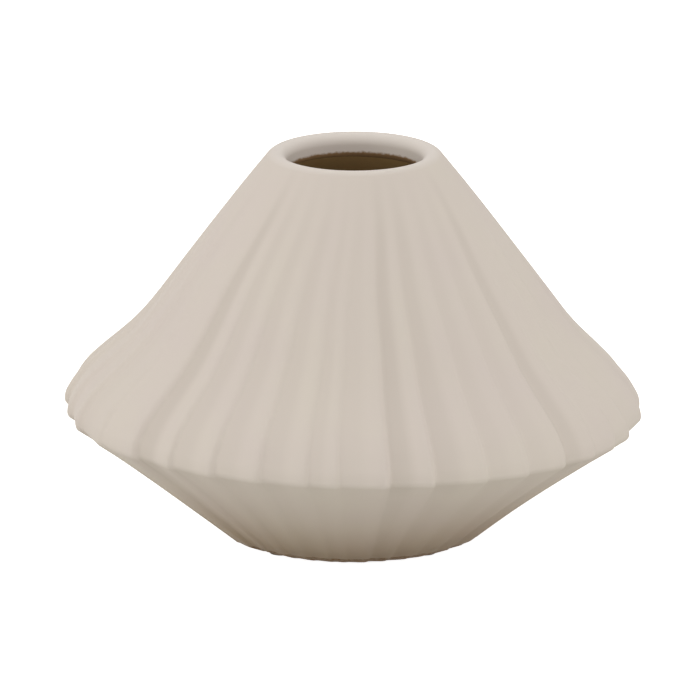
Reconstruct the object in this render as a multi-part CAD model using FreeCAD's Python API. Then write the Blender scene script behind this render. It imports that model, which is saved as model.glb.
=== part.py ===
import FreeCAD, Part
import math
import os

os.makedirs("parts", exist_ok=True)

# A wide, low vase of matt stoneware: a fluted cone over a fluted bowl, joined at the widest circle.
# Millimetres. The floor is z = 0 and the foot stands round the Z axis. The front faces -Y.
# Azimuths start at the front and turn towards +X. Body heights start at the underside of the foot.

# Felt pads between the foot and the table.
pad_thickness = 1.0
pad_radius = 4.5
pad_count = 4
pad_margin = 0.2

# Outline of the body over the ridges of the flutes.
body_height = 150.0
shoulder_radius = 110.6
shoulder_height = 49.0
shoulder_upper_round = 10.0
shoulder_upper_turn = math.radians(29.0)
shoulder_lower_round = 5.0
shoulder_lower_turn = math.radians(54.4)
foot_radius = 50.4
foot_edge_height = 2.3
foot_edge_inset = 5.7
bowl_sag = 1.0

# The wall from the shoulder to the lip, as shares of its rise and of its reach. It flares at the shoulder.
wall_profile_shares = (
    (0.052, 0.961),
    (0.122, 0.885),
    (0.264, 0.703),
    (0.405, 0.564),
    (0.614, 0.373),
    (0.789, 0.208),
)

# Lip and throat.
mouth_radius = 26.0
lip_round = 4.2
lip_slope = math.radians(37.8)
lip_crown = math.radians(80.0)
throat_depth = 7.6

# Foot ring and the shallow recess inside it.
foot_ring_width = 11.0
foot_recess_depth = 1.8
foot_recess_flare = 1.0

# Cavity: floor, lower cone, upright belly band, upper cone and throat.
floor_thickness = 6.5
cavity_floor_radius = 43.0
belly_wall = 9.0
belly_above_seam = 2.5
belly_below_seam = 2.5

# Glaze that lines the cavity and stops short of the throat.
glaze_thickness = 0.45
glaze_stop = 1.5

# Flutes in turn, each a little different, as if cut by hand. Each has its width share, the depth share of the
# crease on its left, the share of that depth at which its back lies, and the depth share of its crest.
flute_depth = 2.0
first_crease = math.radians(-92.8)
flutes = (
    (1.065, 1.5, 0.65, 0.45),
    (0.995, 1.6, 0.65, 0.2),
    (1.218, 1.4, 0.6, 0),
    (1.166, 0.6, 0.4, 0),
    (0.986, 1.3, 0.7, 0),
    (1.001, 0.9, 0.5, 0),
    (1.011, 0.9, 0.5, 0),
    (0.956, 0.9, 0.55, 0),
    (0.613, 0.8, 0.35, 0),
    (1.023, 0.8, 0.3, 0),
    (0.922, 1.3, 0.5, 0),
    (1.116, 1.25, 0.4, 0),
    (0.968, 0.7, 0.35, 0),
    (1.003, 0.7, 0.35, 0),
    (0.913, 1.1, 0.5, 0),
    (0.845, 0.6, 0.4, 0),
    (0.796, 0.8, 0.45, 0),
    (1.453, 1.5, 0.65, 0),
    (0.972, 1.1, 0.45, 0),
    (1.046, 1.2, 0.5, 0),
    (1.051, 0.9, 0.45, 0),
    (1.05, 1.2, 0.55, 0),
    (1.05, 0.8, 0.4, 0),
    (1.05, 1.0, 0.5, 0),
    (1.05, 1.2, 0.5, 0),
    (1.05, 0.7, 0.35, 0),
    (1.05, 0.9, 0.45, 0),
    (1.05, 1.3, 0.6, 0),
    (1.05, 1.0, 0.45, 0),
    (1.05, 0.8, 0.4, 0),
    (1.105, 1.2, 0.55, 0),
    (1.1, 0.9, 0.4, 0),
    (1.1, 1.1, 0.5, 0),
    (1.1, 0.8, 0.45, 0),
    (1.024, 1.2, 0.5, 0),
)
# A flute rises over its back to a crest near its right crease. Shares of its width.
back_share = 0.5
crest_share = 0.92
# Radii, as shares of the shoulder's, between which the flutes fade out.
fade_start_share = 0.6
fade_end_share = 0.3
foot_depth_share = 0.6

# Hand-made drift: the shoulder tips towards +X, and the neck above it sways towards +X.
shoulder_tip = math.radians(0.85)
tip_reach = 42.0
sway = 0.7
sway_height = 61.0
sway_reach = 34.0

# Spans between the rings that the walls are ruled through.
shoulder_upper_span_count = 2
shoulder_lower_span_count = 2
wall_span_count = 12
wall_span_ratio = 0.95
bowl_span_count = 7
lip_span_count = 3
throat_span_count = 4

# How far cutting shapes run past what they cut.
overrun = 5.0

foot_level = pad_thickness
lip_centre_radius = mouth_radius + lip_round
lip_centre_height = body_height - lip_round
throat_height = lip_centre_height + lip_round - throat_depth
up = FreeCAD.Vector(0, 0, 1)


def bump(height, middle, reach):
    """Soft wave that is 1 at the middle and 0 from the reach outwards."""
    away = abs(height - middle) / reach
    return 0.5 * (1.0 + math.cos(math.pi * min(away, 1.0)))


def tip_at(height):
    """Angle that the ring at a height tips towards +X."""
    return shoulder_tip * bump(height, shoulder_height, tip_reach)


def sway_at(height):
    """Sideways place of the centre of the ring at a height: none up to the shoulder, then the neck's."""
    return sway * (1.0 - bump(max(height, sway_height), sway_height, sway_reach))


def place(radius, height, azimuth):
    """Point of a ring, on its own tipped plane."""
    x = radius * math.sin(azimuth)
    y = -radius * math.cos(azimuth)
    drop = x * math.tan(tip_at(height))
    return FreeCAD.Vector(x + sway_at(height), y, foot_level + height - drop)


def crease_list():
    """Azimuth of each crease and the depths of the flute after it. The first one comes again at the end."""
    pitch = 2.0 * math.pi / sum(flute[0] for flute in flutes)
    azimuth = first_crease
    creases = []
    for width, *depths in flutes:
        creases.append((azimuth, *depths))
        azimuth = azimuth + width * pitch
    return creases + [(first_crease + 2.0 * math.pi, *flutes[0][1:])]


def flute_edges(radius, height, share, left, right):
    """One flute of a ring: an arc over its back to the crest, then a straight fall into the right crease."""
    width = right[0] - left[0]
    depth = share * flute_depth
    start = place(radius - depth * left[1], height, left[0])
    back = place(radius - depth * left[1] * left[2], height, left[0] + back_share * width)
    crest = place(radius - depth * left[3], height, left[0] + crest_share * width)
    end = place(radius - depth * right[1], height, right[0])
    return [Part.Arc(start, back, crest).toShape(), Part.LineSegment(crest, end).toShape()]


def ring(radius, height, share):
    """Closed wire of all the flutes at one height. A share of 0 is a plain circle."""
    creases = crease_list()
    edges = []
    for left, right in zip(creases[:-1], creases[1:]):
        edges = edges + flute_edges(radius, height, share, left, right)
    return Part.Wire(edges)


def wall_depth_share(radius):
    """Flutes get shallower evenly towards the lip and fade out in the smooth zone below it."""
    across = radius / shoulder_radius
    fade = (across - fade_end_share) / (fade_start_share - fade_end_share)
    fade = min(max(fade, 0.0), 1.0)
    return across * fade * fade * (3.0 - 2.0 * fade)


def shoulder_points(round_radius, turn, spans):
    """Radius and height along one side of the rounded shoulder, from the widest circle."""
    points = []
    for step in range(spans + 1):
        angle = turn * step / spans
        radius = shoulder_radius - round_radius * (1.0 - math.cos(angle))
        points.append((radius, shoulder_height + round_radius * math.sin(angle)))
    return points


def wall_points(start, end):
    """Radius and height along the wall, on a smooth curve from the shoulder to the lip."""
    rise = end[1] - start[1]
    reach = start[0] - end[0]
    through = [start]
    for rise_share, reach_share in wall_profile_shares:
        through.append((end[0] + reach_share * reach, start[1] + rise_share * rise))
    through.append(end)
    curve = Part.BSplineCurve()
    curve.interpolate([FreeCAD.Vector(radius, 0, height) for radius, height in through])
    line = curve.toShape()
    steps = [wall_span_ratio ** step for step in range(wall_span_count)]
    points = []
    travelled = 0.0
    for step in steps[:-1]:
        travelled = travelled + step
        spot = line.valueAt(line.getParameterByLength(line.Length * travelled / sum(steps)))
        points.append((spot.x, spot.z))
    return points + [end]


def lip_points():
    """Radius and height over the outer side of the rounded lip."""
    points = []
    for step in range(lip_span_count + 1):
        angle = lip_slope + (lip_crown - lip_slope) * step / lip_span_count
        radius = lip_centre_radius + lip_round * math.cos(angle)
        points.append((radius, lip_centre_height + lip_round * math.sin(angle)))
    return points


def upper_body():
    """Solid cone with its fluted wall and the outer side of its lip."""
    shoulder = shoulder_points(shoulder_upper_round, shoulder_upper_turn, shoulder_upper_span_count)
    lip = lip_points()
    wall = wall_points(shoulder[-1], lip[0])
    rings = [ring(radius, height, wall_depth_share(radius)) for radius, height in shoulder + wall]
    rings = rings + [ring(radius, height, 0.0) for radius, height in lip[1:]]
    return Part.makeLoft(rings, True, True)


def lower_body():
    """Solid bowl with its fluted wall, which sags a little between the shoulder and the foot."""
    shoulder = shoulder_points(shoulder_lower_round, -shoulder_lower_turn, shoulder_lower_span_count)
    start = shoulder[-1]
    rings = [ring(radius, height, 1.0) for radius, height in shoulder]
    for step in range(1, bowl_span_count + 1):
        along = step / bowl_span_count
        radius = start[0] + (foot_radius - start[0]) * along
        height = start[1] + (foot_edge_height - start[1]) * along
        sag = bowl_sag * 4.0 * along * (1.0 - along)
        rings.append(ring(radius - sag, height, 1.0 + (foot_depth_share - 1.0) * along))
    rings.append(ring(foot_radius - foot_edge_inset, 0, foot_depth_share))
    return Part.makeLoft(rings, True, True)


def revolve(outline):
    """Solid of revolution of a closed outline of radius and body height."""
    points = [FreeCAD.Vector(radius, 0, foot_level + height) for radius, height in outline]
    face = Part.Face(Part.makePolygon(points + points[:1]))
    return face.revolve(FreeCAD.Vector(), up, 360)


def tip_with_shoulder(shape):
    """Tip a level shape as the shoulder tips."""
    tipped = shape.copy()
    pivot = FreeCAD.Vector(0, 0, foot_level + shoulder_height)
    tipped.rotate(pivot, FreeCAD.Vector(0, 1, 0), math.degrees(shoulder_tip))
    return tipped


def cavity_points(stop):
    """Radius and height along the cavity's wall, from the floor to a stop below the throat."""
    belly_radius = shoulder_radius - belly_wall
    belly_top = shoulder_height + belly_above_seam
    slope = (belly_radius - mouth_radius) / (throat_height - belly_top)
    return [
        (cavity_floor_radius, floor_thickness),
        (belly_radius, shoulder_height - belly_below_seam),
        (belly_radius, belly_top),
        (mouth_radius + slope * stop, throat_height - stop),
    ]


def inset(points, thickness):
    """Copy of the cavity's line, moved inwards square to each of its stretches."""
    normals = []
    for start, end in zip(points[:-1], points[1:]):
        length = math.hypot(end[0] - start[0], end[1] - start[1])
        normals.append(((start[1] - end[1]) / length, (end[0] - start[0]) / length))
    befores = [(0.0, 1.0)] + normals
    afters = normals + [normals[-1]]
    moved = []
    for point, before, after in zip(points, befores, afters):
        mitre = thickness / (1.0 + before[0] * after[0] + before[1] * after[1])
        radius = point[0] + (before[0] + after[0]) * mitre
        moved.append((radius, point[1] + (before[1] + after[1]) * mitre))
    return moved


def cavity():
    line = cavity_points(0)
    outline = [(0, floor_thickness)] + line + [(0, throat_height)]
    return tip_with_shoulder(revolve(outline))


def mouth():
    """Throat and the inner side of the rounded lip."""
    outline = [(0, throat_height - overrun), (mouth_radius, throat_height - overrun)]
    for step in range(throat_span_count + 1):
        angle = lip_crown * step / throat_span_count
        radius = lip_centre_radius - lip_round * math.cos(angle)
        outline.append((radius, lip_centre_height + lip_round * math.sin(angle)))
    crown_radius = outline[-1][0]
    outline.append((crown_radius, body_height + overrun))
    outline.append((0, body_height + overrun))
    return revolve(outline).translated(FreeCAD.Vector(sway_at(body_height), 0, 0))


def foot_recess():
    side = foot_radius - foot_edge_inset - foot_ring_width
    outline = [
        (0, -overrun),
        (side, -overrun),
        (side, 0),
        (side - foot_recess_flare, foot_recess_depth),
        (0, foot_recess_depth),
    ]
    return revolve(outline)


def glaze():
    line = cavity_points(glaze_stop)
    inner = inset(line, glaze_thickness)
    outline = [(0, floor_thickness)] + line + inner[::-1] + [(0, inner[0][1])]
    return tip_with_shoulder(revolve(outline))


def pads():
    circle = foot_radius - foot_edge_inset - foot_ring_width + pad_margin + pad_radius
    solids = []
    for count in range(pad_count):
        azimuth = math.pi * (2 * count + 1) / pad_count
        spot = FreeCAD.Vector(circle * math.sin(azimuth), -circle * math.cos(azimuth), 0)
        solids.append(Part.makeCylinder(pad_radius, pad_thickness, spot, up))
    return Part.makeCompound(solids)


hollow = cavity()
pieces = {
    "upper_half": upper_body().cut([hollow, mouth()]),
    "lower_half": lower_body().cut([hollow, foot_recess()]),
    "glaze_lining": glaze(),
    "foot_pads": pads(),
}
for name, piece in pieces.items():
    print(name, piece.isValid(), len(piece.Solids), round(piece.Volume), piece.BoundBox)
    piece.exportStep("parts/" + name + ".step")
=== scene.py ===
import math

import bpy
import numpy as np
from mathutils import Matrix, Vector


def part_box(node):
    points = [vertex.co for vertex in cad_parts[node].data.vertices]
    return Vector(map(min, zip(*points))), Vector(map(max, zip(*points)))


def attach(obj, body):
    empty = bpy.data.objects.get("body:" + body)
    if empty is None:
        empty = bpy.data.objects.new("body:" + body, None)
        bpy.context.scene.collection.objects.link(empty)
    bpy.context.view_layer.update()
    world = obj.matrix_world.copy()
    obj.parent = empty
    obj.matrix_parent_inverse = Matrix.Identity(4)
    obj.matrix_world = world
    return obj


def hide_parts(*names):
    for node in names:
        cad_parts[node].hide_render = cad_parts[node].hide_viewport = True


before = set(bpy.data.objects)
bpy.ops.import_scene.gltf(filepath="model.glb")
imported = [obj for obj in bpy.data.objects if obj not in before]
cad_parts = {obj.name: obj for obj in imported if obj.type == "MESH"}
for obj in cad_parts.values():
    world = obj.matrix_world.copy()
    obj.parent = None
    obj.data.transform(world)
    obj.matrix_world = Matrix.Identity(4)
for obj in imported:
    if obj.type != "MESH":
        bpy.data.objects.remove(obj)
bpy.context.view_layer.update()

# A wide, low vase of matt stoneware: a fluted cone over a fluted bowl. Lengths are in metres. The floor is
# z = 0, the front faces -Y, and azimuths turn from the front towards +X. Body heights start under the foot.
mm = 0.001
foot_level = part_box("foot_pads")[1].z
body_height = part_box("upper_half")[1].z - foot_level

# Outline of the body over the ridges of the flutes. A turn is the angle that a rounding covers.
shoulder_radius = 110.6 * mm
shoulder_height = 49.0 * mm
shoulder_upper_round = 10.0 * mm
shoulder_upper_turn = math.radians(29.0)
shoulder_lower_round = 3.0 * mm
shoulder_lower_turn = math.radians(54.4)
foot_radius = 50.4 * mm
foot_edge_height = 2.3 * mm
foot_edge_inset = 5.7 * mm
bowl_sag = 1.0 * mm

# The wall from the shoulder to the lip, as shares of its rise and of its reach. It flares at the shoulder.
wall_profile_shares = (
    (0.052, 0.961),
    (0.122, 0.885),
    (0.264, 0.703),
    (0.405, 0.564),
    (0.614, 0.373),
    (0.789, 0.208),
)

# Lip, throat and cavity.
mouth_radius = 26.0 * mm
lip_round = 4.2 * mm
lip_slope = math.radians(37.8)
throat_depth = 7.6 * mm
floor_thickness = 6.5 * mm
cavity_floor_radius = 43.0 * mm
belly_wall = 9.0 * mm
belly_above_seam = 2.5 * mm
belly_below_seam = 2.5 * mm
lip_centre_radius = mouth_radius + lip_round
lip_centre_height = body_height - lip_round
throat_height = body_height - throat_depth
belly_radius = shoulder_radius - belly_wall

# The glaze stops a little below the throat. There it thins out, over a share of the cavity's upper slope.
glaze_thickness = 0.45 * mm
glaze_stop = 1.5 * mm
glaze_feather = 0.05

# Foot ring and the shallow recess inside it.
foot_ring_width = 11.0 * mm
foot_recess_depth = 1.8 * mm
foot_recess_flare = 1.0 * mm

# Felt pads.
pad_radius = 4.5 * mm
pad_edge = 0.25 * mm
pad_count = 4
pad_margin = 0.2 * mm

# Flutes in turn, each a little different, as if cut by hand. Each has its width share, the depth share of
# the crease on its left, the share of that depth at which its back lies, the depth share of its crest, and
# how much painted shade lies in its left part.
flute_depth = 2.0 * mm
first_crease = math.radians(-92.8)
flutes = (
    (1.065, 1.5, 0.65, 0.45, 0),
    (0.995, 1.6, 0.65, 0.2, 0),
    (1.218, 1.4, 0.6, 0, 0.15),
    (1.166, 0.6, 0.4, 0, 0),
    (0.986, 1.3, 0.7, 0, 1),
    (1.001, 0.9, 0.5, 0, 0.5),
    (1.011, 0.9, 0.5, 0, 0.45),
    (0.956, 0.9, 0.55, 0, 0.45),
    (0.613, 0.8, 0.35, 0, 0.4),
    (1.023, 0.8, 0.3, 0, 0.3),
    (0.922, 1.3, 0.5, 0, 0.9),
    (1.116, 1.25, 0.4, 0, 0.6),
    (0.968, 0.7, 0.35, 0, 0.3),
    (1.003, 0.7, 0.35, 0, 0.25),
    (0.913, 1.1, 0.5, 0, 0.7),
    (0.845, 0.6, 0.4, 0, 0),
    (0.796, 0.8, 0.45, 0, 0),
    (1.453, 1.5, 0.65, 0, 0),
    (0.972, 1.1, 0.45, 0, 0.2),
    (1.046, 1.2, 0.5, 0, 0.4),
    (1.051, 0.9, 0.45, 0, 0.6),
    (1.05, 1.2, 0.55, 0, 0.3),
    (1.05, 0.8, 0.4, 0, 0.8),
    (1.05, 1.0, 0.5, 0, 0.4),
    (1.05, 1.2, 0.5, 0, 0.5),
    (1.05, 0.7, 0.35, 0, 0.9),
    (1.05, 0.9, 0.45, 0, 0.3),
    (1.05, 1.3, 0.6, 0, 0.5),
    (1.05, 1.0, 0.45, 0, 0.7),
    (1.05, 0.8, 0.4, 0, 0.4),
    (1.105, 1.2, 0.55, 0, 0.3),
    (1.1, 0.9, 0.4, 0, 0.6),
    (1.1, 1.1, 0.5, 0, 0.2),
    (1.1, 0.8, 0.45, 0, 0.3),
    (1.024, 1.2, 0.5, 0, 0.1),
)
# A flute rises over its back to a crest near its right crease. These two are shares of its width.
back_share = 0.5
crest_share = 0.92
# On the cone the flutes fade out between two radii, as shares of the shoulder's. At the foot they are
# shallower.
fade_start_share = 0.6
fade_end_share = 0.3
foot_depth_share = 0.6

# Hand-made drift: the shoulder tips towards +X, and the neck above it sways towards +X.
shoulder_tip = math.radians(0.85)
tip_reach = 42.0 * mm
sway = 0.7 * mm
sway_height = 61.0 * mm
sway_reach = 34.0 * mm

# The coat of slip rounds the crests and fills the creases, most where the flutes are shallow and on the bowl.
# Below the shoulder the softness builds up over one reach, and down to the foot it falls over another.
wall_softness = 0.6 * mm
shallow_softness = 2.2 * mm
bowl_softness = 2.0 * mm
foot_softness = 0.7 * mm
softness_reach = 6.0 * mm
foot_reach = 26.0 * mm

# Painted shade in the flutes: from a flute's left crease it reaches to these shares of its width. Upwards
# it blurs and leans towards +X, and it fades out between two radii, as shares of the shoulder's. On the
# bowl it is fainter.
painted_shade_full = 0.34
painted_shade_end = 0.62
painted_shade_softness = 0.4 * mm
painted_shade_lean = math.radians(3.5)
painted_shade_start_share = 0.48
painted_shade_end_share = 0.23
bowl_painted_shade_share = 0.45

# Grids: steps round the vase, and steps along each stretch of an outline. The first ring round a pole has a
# share of the flat's radius. Sharp edges stay sharp above the angle.
steps_per_flute = 16
crowding = 0.8
fine_steps = 7200
lining_columns = 144
shoulder_steps = 10
wall_steps = 90
lip_steps = 22
throat_steps = 4
upper_cavity_steps = 12
bowl_steps = 70
edge_steps = 3
flat_steps = 6
short_steps = 2
slope_steps = 8
lining_base_steps = 4
hub_share = 1.0 / 8.0
pad_columns = 48
pad_flat_steps = 5
pad_round_steps = 4
pad_side_steps = 3
pad_hub_share = 1.0 / 6.0
sharp_angle = math.radians(50.0)

# Colours in sRGB. Those not marked below as painted are as the real thing looks.
coat_tints = ("D0C7B9", "CDC0B9")
# Painted shade: a darker tint for the left parts of the flutes, standing in for the shade of their relief.
painted_flute_shade_tint = "C5BAAF"
# Painted highlight: a paler tint for the lip's rounded top, where light falls on it.
lip_painted_highlight_tint = "D8CFC6"
clay_tint = "8A6A45"
glaze_tints = ("A38254", "B79766")
felt_tints = ("8F8475", "B5AA99")

# The coat reaches down inside the mouth to one depth and starts above the sole at one height. Its edge is
# ragged and soft. Outside, no point lies further past that edge than a set depth, so clay shows only in
# patches. At the foot's edge these darker patches are partly unglazed clay and partly painted contact shade.
throat_coat = 6.8 * mm
foot_coat = 3.0 * mm
foot_bare_and_painted_shade = 0.25 * mm
coat_rag = 0.3 * mm
coat_edge = (-0.3 * mm, 0.5 * mm)

# Sizes of what the materials show: clouds of tint, drops of the spray, grain of the clay, pools of glaze and
# fibres of felt. The two depths are those of the grain and of the fibres.
cloud_size = 35.0 * mm
spray_size = 1.6 * mm
grain_size = 0.8 * mm
grain_depth = 0.1 * mm
pool_size = 18.0 * mm
fibre_size = 0.5 * mm
fibre_depth = 0.2 * mm

# Studio. For the light that it throws up onto the bowl, the floor carries painted shade near the foot: darker
# and warmer, over an oval that is longer sideways, standing in for the shadow under the bowl and the warm
# light bounced between bowl and floor. Seen directly, it glows from just inside the foot ring outwards.
studio_size = 12.0
white = "FFFFFF"
floor_tint = "E4E5E0"
floor_painted_shade_tint = "A08236"
floor_painted_shade_radii = (52.0 * mm, 122.0 * mm)
floor_painted_shade_squeeze = (0.84, 1.12, 1.0)
glow_radii = (37.0 * mm, 41.0 * mm)
glow_level = 0.95
sky_level = 0.535

# Softboxes, aimed at the middle of the vase: name, azimuth and elevation in degrees, distance, and power.
lamp_size = 1.2
lamps = (
    ("left_softbox", -82.0, 25.0, 1.6, 7.8),
    ("right_softbox", 82.0, 25.0, 1.6, 6.2),
    ("front_softbox", 0.0, 34.0, 1.8, 7.7),
    ("back_softbox", 180.0, 60.0, 1.8, 4.8),
)

# Camera. It stands far back with a long lens. The vase's axis, at axis_height, shows at axis_pixel.
image_width = 700
image_height = 700
axis_pixel = (352.67, 339.0)
axis_height = 77.0 * mm
camera_elevation = math.radians(15.05)
camera_distance = 6.1
pixel_size = 1.0 * mm / 2.6212
sensor_width = 36.0
clip_near = 0.1
clip_far = 2.0 * studio_size


def bump(height, middle, reach):
    """Soft wave of cosine form that is 1 at the middle and 0 from the reach outwards."""
    away = np.minimum(np.abs(height - middle) / reach, 1.0)
    return 0.5 * (1.0 + np.cos(np.pi * away))


def fade_out(value, start, end):
    """1 up to the start and 0 from the end on, whichever way they lie, with a smooth step between."""
    fade = np.clip((value - end) / (start - end), 0.0, 1.0)
    return fade * fade * (3.0 - 2.0 * fade)


def sway_at(height):
    """Sideways place of the wall's centre: none up to the shoulder, then the neck's."""
    return sway * (1.0 - bump(np.maximum(height, sway_height), sway_height, sway_reach))


def follow_wall(rows):
    """Adds tip angle and centre to rows of radius and height, as the outer wall tips and sways there."""
    height = rows[:, 1]
    tip = shoulder_tip * bump(height, shoulder_height, tip_reach)
    return np.column_stack([rows, tip, sway_at(height)])


def follow_cavity(rows):
    """Adds tip angle and centre to rows of radius and height, all tipped with the shoulder as one."""
    lean = (rows[:, 1] - shoulder_height) * math.tan(shoulder_tip)
    return np.column_stack([rows, np.full(len(rows), shoulder_tip), lean])


def line(start, end, count):
    """Rows of radius and height at even steps from the start up to, but without, the end."""
    along = np.arange(count)[:, None] / count
    return np.array(start) + along * (np.array(end) - np.array(start))


def arc(centre, radius, start, end, count):
    """Rows round a circle: the centre plus radius times cosine and sine, from the start up to the end."""
    angle = start + (end - start) * np.arange(count) / count
    return np.column_stack([centre[0] + radius * np.cos(angle), centre[1] + radius * np.sin(angle)])


def smooth_curve(points, count):
    """Natural cubic spline through points over their chord lengths, at even steps up to the last."""
    points = np.array(points)
    chord = np.linalg.norm(np.diff(points, axis=0), axis=1)
    place = np.concatenate([[0.0], np.cumsum(chord)])
    slope = np.diff(points, axis=0) / chord[:, None]
    matrix = np.eye(len(points))
    inner = np.arange(1, len(points) - 1)
    matrix[inner, inner - 1] = chord[:-1]
    matrix[inner, inner] = 2.0 * (chord[:-1] + chord[1:])
    matrix[inner, inner + 1] = chord[1:]
    bend = np.zeros_like(points)
    bend[1:-1] = 6.0 * np.diff(slope, axis=0)
    bend = np.linalg.solve(matrix, bend)
    at = place[-1] * np.arange(count) / count
    span = np.searchsorted(place, at, side="right") - 1
    left = ((place[span + 1] - at) / chord[span])[:, None]
    right = 1.0 - left
    square = (chord[span] ** 2 / 6.0)[:, None]
    straight = left * points[span] + right * points[span + 1]
    return straight + square * ((left**3 - left) * bend[span] + (right**3 - right) * bend[span + 1])


def wall_points():
    """Points of the wall's outline from the shoulder's rounding to the lip's."""
    start = (
        shoulder_radius - shoulder_upper_round * (1.0 - math.cos(shoulder_upper_turn)),
        shoulder_height + shoulder_upper_round * math.sin(shoulder_upper_turn),
    )
    end = (
        lip_centre_radius + lip_round * math.cos(lip_slope),
        lip_centre_height + lip_round * math.sin(lip_slope),
    )
    middle = [
        (end[0] + reach * (start[0] - end[0]), start[1] + rise * (end[1] - start[1]))
        for rise, reach in wall_profile_shares
    ]
    return [start] + middle + [end]


def cavity_rows(thickness):
    """Corners down the cavity's wall from the glaze's end to the floor, moved in by a thickness."""
    slope = (belly_radius - mouth_radius) / (throat_height - shoulder_height - belly_above_seam)
    corners = np.array([
        (mouth_radius + slope * glaze_stop, throat_height - glaze_stop),
        (belly_radius, shoulder_height + belly_above_seam),
        (belly_radius, shoulder_height - belly_below_seam),
        (cavity_floor_radius, floor_thickness),
    ])
    run = np.diff(corners, axis=0)
    normal = np.column_stack([run[:, 1], -run[:, 0]]) / np.linalg.norm(run, axis=1)[:, None]
    before = np.vstack([normal[:1], normal])
    after = np.vstack([normal, [[0.0, 1.0]]])
    mitre = thickness / (1.0 + (before * after).sum(axis=1))
    return corners + (before + after) * mitre[:, None]


def wall_share(radius):
    """Share of the flutes' depth: it falls evenly with the radius and fades out below the lip."""
    across = radius / shoulder_radius
    return across * fade_out(across, fade_start_share, fade_end_share)


def flute_places():
    """Width and left crease of each flute, as azimuths."""
    widths = 2.0 * np.pi * np.array(flutes)[:, 0] / np.sum(flutes, axis=0)[0]
    return widths, first_crease + np.concatenate([[0.0], np.cumsum(widths)[:-1]])


def flute_columns():
    """Azimuths of the grid's columns. They crowd towards the creases by a sine wave laid over even steps."""
    widths, starts = flute_places()
    even = np.arange(steps_per_flute) / steps_per_flute
    step = even - crowding * np.sin(2.0 * np.pi * even) / (2.0 * np.pi)
    return (starts[:, None] + widths[:, None] * step).ravel()


def fine_circle():
    """Fine azimuths all round, the flute each one lies in, and how far along that flute's width it lies."""
    widths, starts = flute_places()
    fine = first_crease + 2.0 * np.pi * np.arange(fine_steps) / fine_steps
    flute = np.searchsorted(starts, fine, side="right") - 1
    return fine, flute, (fine - starts[flute]) / widths[flute]


def soften(values, azimuth, radius, softness):
    """Values of the fine circle, blurred round it by a bell curve of each row's softness, at the azimuths."""
    wave = np.arange(fine_steps // 2 + 1)
    blur = np.exp(-0.5 * (wave * (softness / radius)[:, None]) ** 2)
    soft = np.fft.irfft(np.fft.rfft(values) * blur, fine_steps)
    fine = fine_circle()[0]
    at = np.broadcast_to(azimuth, (len(radius), azimuth.shape[-1]))
    return np.array([np.interp(ring, fine, row, period=2.0 * np.pi) for ring, row in zip(at, soft)])


def flute_depths(azimuth, radius, share, softness):
    """How far each point of the grid lies back from the plain circle, with one row for each radius.

    From its left crease a flute rises on a parabola through its back to its crest, and from there it falls
    straight into its right crease. That line is softened, and is times the depth and the row's share.
    """
    creases, backs, crests = np.array(flutes).T[1:4]
    flute, along = fine_circle()[1:]
    at = np.linalg.inv(np.vander([0.0, back_share, crest_share], 3))
    curve = (at @ np.vstack([creases, creases * backs, crests]))[:, flute]
    rise = (curve[0] * along + curve[1]) * along + curve[2]
    past_crest = (along - crest_share) / (1.0 - crest_share)
    fall = crests[flute] + (np.roll(creases, -1) - crests)[flute] * past_crest
    depths = np.where(along < crest_share, rise, fall)
    return flute_depth * share[:, None] * soften(depths, azimuth, radius, softness)


def painted_flute_shades(azimuth, radius, share):
    """How much painted shade lies on each point: each flute's own share from its left crease on, times the
    row's share.
    """
    flute, along = fine_circle()[1:]
    # Painted shade in the left part of each flute.
    thin = np.array(flutes)[flute, 4] * fade_out(along, painted_shade_full, painted_shade_end)
    across = radius / shoulder_radius
    lean = painted_shade_lean * (1.0 - fade_out(across, fade_start_share, fade_end_share))
    return share[:, None] * soften(thin, azimuth - lean[:, None], radius, painted_shade_softness / across)


def surface(rows, azimuth, back):
    """Grid of points. Each row is a ring of its radius, less how far the flutes lie back, on a tipped plane."""
    radius, height, tip, centre = [column[:, None] for column in rows.T]
    cut = radius - back
    across = cut * np.sin(azimuth)
    z = foot_level + height - across * np.tan(tip)
    return np.stack([across + centre, -cut * np.cos(azimuth), z], axis=-1)


def grid_faces(rows, columns, closed):
    """Squares of a grid that wraps round its columns, and round its rows too where it is closed."""
    row = np.arange(rows if closed else rows - 1)[:, None]
    column = np.arange(columns)
    upper = (row + 1) % rows
    right = (column + 1) % columns
    corners = [
        row * columns + column, row * columns + right, upper * columns + right, upper * columns + column
    ]
    return np.stack(corners, axis=-1).reshape(-1, 4).tolist()


def fan_faces(ring, pole, turned):
    """Triangles from a ring of points to its pole."""
    after = np.roll(ring, -1)
    sides = (after, ring) if turned else (ring, after)
    return np.column_stack([*sides, np.full(len(ring), pole)]).tolist()


def solid(points, closed):
    """Vertices and faces of a grid: closed like a ring, or with a pole at the middle of each end."""
    rows, columns = points.shape[:2]
    vertices = points.reshape(-1, 3)
    faces = grid_faces(rows, columns, closed)
    if closed:
        return vertices, faces
    first = np.arange(columns)
    last = first + (rows - 1) * columns
    poles = [points[0].mean(axis=0), points[-1].mean(axis=0)]
    vertices = np.vstack([vertices, poles])
    faces = faces + fan_faces(first, rows * columns, True) + fan_faces(last, rows * columns + 1, False)
    return vertices, faces


def make_piece(name, vertices, faces, material, node, slot):
    """Mesh object of the given points, smooth but for its sharp edges, which stands for a CAD node."""
    mesh = bpy.data.meshes.new(name)
    mesh.from_pydata(vertices.tolist(), [], faces)
    mesh.shade_smooth()
    mesh.set_sharp_from_angle(angle=sharp_angle)
    mesh.materials.append(material)
    piece = bpy.data.objects.new(name, mesh)
    bpy.context.scene.collection.objects.link(piece)
    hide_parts(node)
    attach(piece, "root")
    return piece


def add_attribute(piece, name, values):
    """Stores a number on each point of the grid, and 0 on the poles."""
    padded = np.zeros(len(piece.data.vertices))
    padded[: values.size] = values.ravel()
    piece.data.attributes.new(name, "FLOAT", "POINT").data.foreach_set("value", padded)


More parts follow.
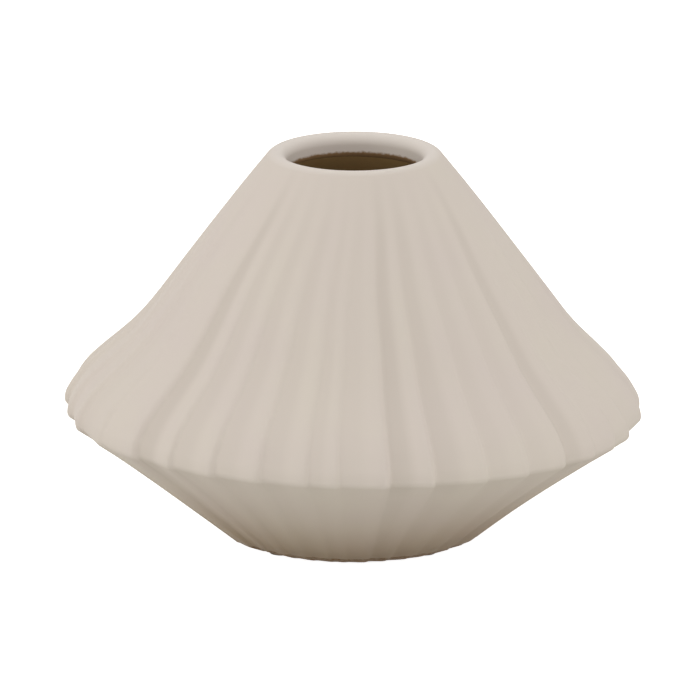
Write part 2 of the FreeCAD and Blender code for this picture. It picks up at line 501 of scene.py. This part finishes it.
def make_upper_wall(material):
    """Cone: up the outside, over the lip, down the throat and the cavity, and out along the seam."""
    azimuth = flute_columns()
    centre = (shoulder_radius - shoulder_upper_round, shoulder_height)
    shoulder = arc(centre, shoulder_upper_round, 0.0, shoulder_upper_turn, shoulder_steps)
    outer = np.vstack([shoulder, smooth_curve(wall_points(), wall_steps)])
    lip = arc((lip_centre_radius, lip_centre_height), lip_round, lip_slope, math.pi, lip_steps)
    throat = line((mouth_radius, lip_centre_height), (mouth_radius, throat_height), throat_steps)
    throat = np.vstack([throat, [(mouth_radius, throat_height)]])
    inside = cavity_rows(0.0)
    cone = line(inside[0], inside[1], upper_cavity_steps)
    belly = np.array([inside[1], (belly_radius, shoulder_height)])
    seam = line((belly_radius, shoulder_height), (shoulder_radius, shoulder_height), short_steps)[1:]
    rows = np.vstack([
        follow_wall(np.vstack([outer, lip, throat])),
        follow_cavity(np.vstack([cone, belly, seam])),
    ])
    fluted = len(outer)
    share = np.zeros(len(rows))
    share[:fluted] = wall_share(outer[:, 0])
    softness = wall_softness + (shallow_softness - wall_softness) * (1.0 - share)
    grid = surface(rows, azimuth, flute_depths(azimuth, rows[:, 0], share, softness))
    piece = make_piece("upper_wall", *solid(grid, True), material, "upper_half", "stoneware_upper")
    # Painted shade in the flutes, fading out up the cone.
    painted_flute_shade = np.zeros(len(rows))
    painted_flute_shade[:fluted] = fade_out(outer[:, 0] / shoulder_radius, painted_shade_start_share, painted_shade_end_share)
    bare_clay_and_painted_shade = np.full(len(rows), -throat_coat)
    bare_clay_and_painted_shade[fluted:] += body_height - rows[fluted:, 1]
    # Painted highlight on the lip's rounded top, strongest at its middle.
    painted_lip_highlight = np.zeros(len(rows))
    painted_lip_highlight[fluted : fluted + lip_steps] = np.sin(np.pi * np.arange(lip_steps) / lip_steps)
    add_attribute(piece, "painted_flute_shade", painted_flute_shades(azimuth, rows[:, 0], painted_flute_shade))
    add_attribute(piece, "bare_clay_and_painted_shade", np.repeat(bare_clay_and_painted_shade, len(azimuth)))
    add_attribute(piece, "painted_lip_highlight", np.repeat(painted_lip_highlight, len(azimuth)))


def make_lower_wall(material):
    """Bowl: out under the foot, up the outside to the seam, in along it, and down the cavity to its floor."""
    azimuth = flute_columns()
    sole_radius = foot_radius - foot_edge_inset
    recess_radius = sole_radius - foot_ring_width
    roof_radius = recess_radius - foot_recess_flare
    roof = line((roof_radius * hub_share, foot_recess_depth), (roof_radius, foot_recess_depth), flat_steps)
    side = line((roof_radius, foot_recess_depth), (recess_radius, 0.0), short_steps)
    sole = line((recess_radius, 0.0), (sole_radius, 0.0), flat_steps)
    edge = line((sole_radius, 0.0), (foot_radius, foot_edge_height), edge_steps)
    top = (
        shoulder_radius - shoulder_lower_round * (1.0 - math.cos(shoulder_lower_turn)),
        shoulder_height - shoulder_lower_round * math.sin(shoulder_lower_turn),
    )
    along = np.arange(bowl_steps) / bowl_steps
    bowl = line((foot_radius, foot_edge_height), top, bowl_steps)
    bowl[:, 0] -= bowl_sag * 4.0 * along * (1.0 - along)
    centre = (shoulder_radius - shoulder_lower_round, shoulder_height)
    shoulder = arc(centre, shoulder_lower_round, -shoulder_lower_turn, 0.0, shoulder_steps)
    seam = line((shoulder_radius, shoulder_height), (belly_radius, shoulder_height), short_steps)
    inside = cavity_rows(0.0)
    belly = np.array([(belly_radius, shoulder_height), inside[2]])
    cone = line(inside[2], inside[3], slope_steps)[1:]
    floor = line(inside[3], (inside[3][0] * hub_share, floor_thickness), flat_steps)
    rows = np.vstack([
        follow_wall(np.vstack([roof, side, sole, edge, bowl, shoulder, seam[:1]])),
        follow_cavity(np.vstack([seam[1:], belly, cone, floor])),
    ])
    share = np.concatenate([
        np.zeros(len(roof) + len(side)),
        foot_depth_share * np.arange(flat_steps) / flat_steps,
        np.full(edge_steps, foot_depth_share),
        foot_depth_share + (1.0 - foot_depth_share) * along,
        np.ones(shoulder_steps + 1),
    ])
    share = np.pad(share, (0, len(rows) - len(share)))
    below = np.clip((top[1] - rows[:, 1]) / softness_reach, 0.0, 1.0)
    above = np.clip((rows[:, 1] - foot_edge_height) / foot_reach, 0.0, 1.0)
    softness = wall_softness + (bowl_softness - wall_softness) * below
    softness = foot_softness + (softness - foot_softness) * above
    grid = surface(rows, azimuth, flute_depths(azimuth, rows[:, 0], share, softness))
    piece = make_piece("lower_wall", *solid(grid, False), material, "lower_half", "stoneware_lower")
    # Painted shade in the flutes, fainter on the bowl.
    painted_flute_shade = (share > 0.0) * (1.0 - (1.0 - bowl_painted_shade_share) * below)
    # Unglazed clay at the foot. Its patches at the foot's edge also stand as painted contact shade.
    bare_clay_and_painted_shade = np.minimum(foot_coat - rows[:, 1], foot_bare_and_painted_shade)
    bare_clay_and_painted_shade[: len(roof) + len(side) + len(sole)] = foot_coat
    add_attribute(piece, "painted_flute_shade", painted_flute_shades(azimuth, rows[:, 0], painted_flute_shade))
    add_attribute(piece, "bare_clay_and_painted_shade", np.repeat(bare_clay_and_painted_shade, len(azimuth)))


def make_lining(material):
    """Skin of glaze: out along its underside, up against the wall to its thin edge, and down its free side."""
    azimuth = 2.0 * np.pi * np.arange(lining_columns) / lining_columns
    outside = cavity_rows(0.0)[::-1]
    inside = cavity_rows(glaze_thickness)
    inside[0] += (inside[1] - inside[0]) * glaze_feather
    under = line((cavity_floor_radius * hub_share, floor_thickness), outside[0], lining_base_steps)
    wall = np.vstack([line(start, end, slope_steps) for start, end in zip(outside[:-1], outside[1:])])
    skin = np.vstack([line(start, end, slope_steps) for start, end in zip(inside[:-1], inside[1:])])
    over = line(inside[-1], (cavity_floor_radius * hub_share, inside[-1][1]), flat_steps)
    rows = follow_cavity(np.vstack([under, wall, outside[-1:], skin, over]))
    make_piece("lining", *solid(surface(rows, azimuth, 0.0), False), material, "glaze_lining", "glaze")


def make_pads(material):
    """Four felt discs with softly rounded edges, as one mesh."""
    circle = foot_radius - foot_edge_inset - foot_ring_width + pad_margin + pad_radius
    azimuth = 2.0 * np.pi * np.arange(pad_columns) / pad_columns
    hub = pad_radius * pad_hub_share
    body = pad_radius - pad_edge
    rim = foot_level - pad_edge
    rows = np.vstack([
        line((hub, 0.0), (body, 0.0), pad_flat_steps),
        arc((body, pad_edge), pad_edge, -math.pi / 2.0, 0.0, pad_round_steps),
        line((pad_radius, pad_edge), (pad_radius, rim), pad_side_steps),
        arc((body, rim), pad_edge, 0.0, math.pi / 2.0, pad_round_steps),
        line((body, foot_level), (hub, foot_level), pad_flat_steps),
    ])
    radius, height = rows.T[:, :, None]
    disc = np.stack([radius * np.sin(azimuth), -radius * np.cos(azimuth), height + 0.0 * azimuth], axis=-1)
    vertices, faces = solid(disc, False)
    every_vertex = []
    every_face = []
    for count in range(pad_count):
        turn = math.pi * (2 * count + 1) / pad_count
        shift = len(vertices) * count
        every_vertex.append(vertices + circle * np.array([math.sin(turn), -math.cos(turn), 0.0]))
        every_face.extend([[corner + shift for corner in face] for face in faces])
    make_piece("felt_pads", np.vstack(every_vertex), every_face, material, "foot_pads", "felt")


def linear(hex_colour):
    """Turns an sRGB hex colour to linear red, green, blue and alpha."""
    shares = [int(hex_colour[place : place + 2], 16) / 255.0 for place in (0, 2, 4)]
    return [s / 12.92 if s <= 0.04045 else ((s + 0.055) / 1.055) ** 2.4 for s in shares] + [1.0]


def add(tree, kind, inputs=(), **settings):
    """Adds a node with its settings, and sets or links its inputs by name or number."""
    node = tree.nodes.new(kind)
    for key, value in settings.items():
        setattr(node, key, value)
    for key, value in dict(inputs).items():
        if isinstance(value, bpy.types.NodeSocket):
            tree.links.new(value, node.inputs[key])
        else:
            node.inputs[key].default_value = value
    return node


def new_material(name):
    """Material without nodes, and its tree."""
    material = bpy.data.materials.new(name)
    material.use_nodes = True
    material.node_tree.nodes.clear()
    return material, material.node_tree


def engobe_stoneware():
    """Stoneware under a sprayed coat of clay slip, fired matt. It scatters light softly, with no gloss.

    Painted shade darkens the left part of the flutes, and a painted highlight makes the lip's top paler.
    Inside the mouth the coat ends in a ragged line, where the spray didn't reach, and the brown clay shows.
    The foot is wiped free of the coat. Its patches of clay at the edge also stand as painted contact shade.
    """
    material, tree = new_material("matt_engobe_stoneware")
    where = add(tree, "ShaderNodeTexCoord").outputs["Object"]
    painted_flute_shade = add(tree, "ShaderNodeAttribute", attribute_name="painted_flute_shade").outputs["Fac"]
    bare_clay_and_painted_shade = add(tree, "ShaderNodeAttribute", attribute_name="bare_clay_and_painted_shade").outputs["Fac"]
    painted_lip_highlight = add(tree, "ShaderNodeAttribute", attribute_name="painted_lip_highlight").outputs["Fac"]
    cloud = add(tree, "ShaderNodeTexNoise", {"Vector": where, "Scale": 1.0 / cloud_size, "Detail": 3.0})
    tint = add(
        tree, "ShaderNodeMix",
        {"Factor": cloud.outputs["Fac"], 6: linear(coat_tints[0]), 7: linear(coat_tints[1])},
        data_type="RGBA",
    )
    # Painted shade in the left part of the flutes.
    thin = add(
        tree, "ShaderNodeMix", {"Factor": painted_flute_shade, 6: tint.outputs[2], 7: linear(painted_flute_shade_tint)},
        data_type="RGBA",
    )
    # Painted highlight on the lip's top.
    pale = add(
        tree, "ShaderNodeMix", {"Factor": painted_lip_highlight, 6: thin.outputs[2], 7: linear(lip_painted_highlight_tint)},
        data_type="RGBA",
    )
    spray = add(tree, "ShaderNodeTexNoise", {"Vector": where, "Scale": 1.0 / spray_size, "Detail": 4.0})
    rag = add(
        tree, "ShaderNodeMapRange",
        {
            "Value": spray.outputs["Fac"], "From Min": 0.3, "From Max": 0.7,
            "To Min": -coat_rag, "To Max": coat_rag,
        },
    )
    # Clay where the coat ends. At the foot's edge its patches also stand as painted contact shade.
    past = add(tree, "ShaderNodeMath", {0: bare_clay_and_painted_shade, 1: rag.outputs[0]}, operation="ADD")
    clay = add(
        tree, "ShaderNodeMapRange",
        {"Value": past.outputs[0], "From Min": coat_edge[0], "From Max": coat_edge[1]},
    )
    colour = add(
        tree, "ShaderNodeMix", {"Factor": clay.outputs[0], 6: pale.outputs[2], 7: linear(clay_tint)},
        data_type="RGBA",
    )
    grain = add(
        tree, "ShaderNodeTexNoise",
        {"Vector": where, "Scale": 1.0 / grain_size, "Detail": 4.0, "Roughness": 0.6},
    )
    relief = add(
        tree, "ShaderNodeBump", {"Height": grain.outputs["Fac"], "Strength": 0.12, "Distance": grain_depth}
    )
    shader = add(
        tree, "ShaderNodeBsdfPrincipled",
        {"Base Color": colour.outputs[2], "Roughness": 0.82, "IOR": 1.5, "Normal": relief.outputs["Normal"]},
    )
    add(tree, "ShaderNodeOutputMaterial", {"Surface": shader.outputs["BSDF"]})
    return material


def honey_glaze():
    """Clear glaze poured over buff clay: smooth, wet-looking and unevenly brown."""
    material, tree = new_material("honey_glaze_on_buff_clay")
    where = add(tree, "ShaderNodeTexCoord").outputs["Object"]
    pool = add(tree, "ShaderNodeTexNoise", {"Vector": where, "Scale": 1.0 / pool_size, "Detail": 4.0})
    tint = add(
        tree, "ShaderNodeMix",
        {"Factor": pool.outputs["Fac"], 6: linear(glaze_tints[0]), 7: linear(glaze_tints[1])},
        data_type="RGBA",
    )
    shader = add(
        tree, "ShaderNodeBsdfPrincipled", {"Base Color": tint.outputs[2], "Roughness": 0.3, "IOR": 1.5}
    )
    add(tree, "ShaderNodeOutputMaterial", {"Surface": shader.outputs["BSDF"]})
    return material


def needled_felt():
    """Wool felt, punched with needles: short tangled fibres with a faint sheen."""
    material, tree = new_material("needled_wool_felt")
    where = add(tree, "ShaderNodeTexCoord").outputs["Object"]
    fibre = add(
        tree, "ShaderNodeTexNoise",
        {"Vector": where, "Scale": 1.0 / fibre_size, "Detail": 6.0, "Roughness": 0.7, "Distortion": 1.5},
    )
    tint = add(
        tree, "ShaderNodeMix",
        {"Factor": fibre.outputs["Fac"], 6: linear(felt_tints[0]), 7: linear(felt_tints[1])},
        data_type="RGBA",
    )
    relief = add(
        tree, "ShaderNodeBump", {"Height": fibre.outputs["Fac"], "Strength": 0.6, "Distance": fibre_depth}
    )
    shader = add(
        tree, "ShaderNodeBsdfPrincipled",
        {
            "Base Color": tint.outputs[2], "Roughness": 0.95, "IOR": 1.45, "Sheen Weight": 0.4,
            "Normal": relief.outputs["Normal"],
        },
    )
    add(tree, "ShaderNodeOutputMaterial", {"Surface": shader.outputs["BSDF"]})
    return material


def seen_directly(tree):
    """1 for camera, glossy and transmission rays, and 0 for rays that carry soft light."""
    path = add(tree, "ShaderNodeLightPath")
    some = add(
        tree, "ShaderNodeMath", {0: path.outputs["Is Camera Ray"], 1: path.outputs["Is Glossy Ray"]},
        operation="MAXIMUM",
    )
    every = add(
        tree, "ShaderNodeMath", {0: some.outputs[0], 1: path.outputs["Is Transmission Ray"]},
        operation="MAXIMUM",
    )
    return every.outputs[0]


def make_floor():
    """Wide pale floor. Seen directly it keeps the shadow and glows to white, but not right under the foot."""
    material, tree = new_material("studio_floor")
    where = add(tree, "ShaderNodeTexCoord").outputs["Object"]
    away = add(tree, "ShaderNodeVectorMath", {0: where}, operation="LENGTH").outputs["Value"]
    oval = add(tree, "ShaderNodeVectorMath", {0: where, 1: floor_painted_shade_squeeze}, operation="MULTIPLY")
    across = add(tree, "ShaderNodeVectorMath", {0: oval.outputs["Vector"]}, operation="LENGTH")
    # Painted shade: near the foot, the floor that lights the bowl is darker and warmer.
    floor_painted_shade = add(
        tree, "ShaderNodeMapRange",
        {"Value": across.outputs["Value"], "From Min": floor_painted_shade_radii[0], "From Max": floor_painted_shade_radii[1]},
        interpolation_type="SMOOTHSTEP",
    )
    tint = add(
        tree, "ShaderNodeMix", {"Factor": floor_painted_shade.outputs[0], 6: linear(floor_painted_shade_tint), 7: linear(floor_tint)},
        data_type="RGBA",
    )
    level = add(
        tree, "ShaderNodeMapRange",
        {"Value": away, "From Min": glow_radii[0], "From Max": glow_radii[1], "To Max": glow_level},
        interpolation_type="SMOOTHSTEP",
    )
    soft = add(tree, "ShaderNodeBsdfDiffuse", {"Color": tint.outputs[2]})
    pale = add(tree, "ShaderNodeBsdfDiffuse", {"Color": linear(floor_tint)})
    glow = add(tree, "ShaderNodeEmission", {"Color": linear(white), "Strength": level.outputs[0]})
    both = add(tree, "ShaderNodeAddShader", {0: pale.outputs[0], 1: glow.outputs[0]})
    mix = add(tree, "ShaderNodeMixShader", {0: seen_directly(tree), 1: soft.outputs[0], 2: both.outputs[0]})
    add(tree, "ShaderNodeOutputMaterial", {"Surface": mix.outputs[0]})
    half = studio_size / 2.0
    corners = [(-half, -half, 0.0), (half, -half, 0.0), (half, half, 0.0), (-half, half, 0.0)]
    mesh = bpy.data.meshes.new("floor")
    mesh.from_pydata(corners, [], [(0, 1, 2, 3)])
    mesh.materials.append(material)
    floor = bpy.data.objects.new("floor", mesh)
    bpy.context.scene.collection.objects.link(floor)


def make_sky():
    """Even soft light from all round, which is white where it is seen directly."""
    world = bpy.data.worlds.new("studio")
    bpy.context.scene.world = world
    world.use_nodes = True
    tree = world.node_tree
    tree.nodes.clear()
    light = add(tree, "ShaderNodeBackground", {"Color": linear(white), "Strength": sky_level})
    plain = add(tree, "ShaderNodeBackground", {"Color": linear(white), "Strength": 1.0})
    mix = add(tree, "ShaderNodeMixShader", {0: seen_directly(tree), 1: light.outputs[0], 2: plain.outputs[0]})
    add(tree, "ShaderNodeOutputWorld", {"Surface": mix.outputs[0]})


def make_lamp(name, azimuth, elevation, distance, power):
    """Square soft lamp, aimed at the middle of the vase."""
    azimuth = math.radians(azimuth)
    elevation = math.radians(elevation)
    target = Vector((0.0, 0.0, body_height / 2.0))
    flat = distance * math.cos(elevation)
    spot = Vector((flat * math.sin(azimuth), -flat * math.cos(azimuth), distance * math.sin(elevation)))
    lamp = bpy.data.lights.new(name, "AREA")
    lamp.shape = "SQUARE"
    lamp.size = lamp_size
    lamp.energy = power
    holder = bpy.data.objects.new(name, lamp)
    holder.location = target + spot
    holder.rotation_euler = spot.to_track_quat("Z", "Y").to_euler()
    bpy.context.scene.collection.objects.link(holder)


def make_camera():
    """Aims beside the axis by the offset of its pixel from the picture's middle, so that no shift is needed."""
    away = Vector((0.0, -math.cos(camera_elevation), math.sin(camera_elevation)))
    upward = Vector((0.0, math.sin(camera_elevation), math.cos(camera_elevation)))
    right = Vector((1.0, 0.0, 0.0))
    aim = Vector((0.0, 0.0, axis_height))
    aim = aim - right * (axis_pixel[0] - image_width / 2.0) * pixel_size
    aim = aim + upward * (axis_pixel[1] - image_height / 2.0) * pixel_size
    camera = bpy.data.cameras.new("camera")
    camera.sensor_width = sensor_width
    camera.lens = sensor_width * camera_distance / (image_width * pixel_size)
    camera.clip_start = clip_near
    camera.clip_end = clip_far
    holder = bpy.data.objects.new("camera", camera)
    holder.location = aim + away * camera_distance
    holder.rotation_euler = away.to_track_quat("Z", "Y").to_euler()
    bpy.context.scene.collection.objects.link(holder)
    bpy.context.scene.camera = holder


stoneware = engobe_stoneware()
make_upper_wall(stoneware)
make_lower_wall(stoneware)
make_lining(honey_glaze())
make_pads(needled_felt())
make_floor()
make_sky()
for lamp in lamps:
    make_lamp(*lamp)
make_camera()
bpy.context.scene.view_settings.view_transform = "Standard"
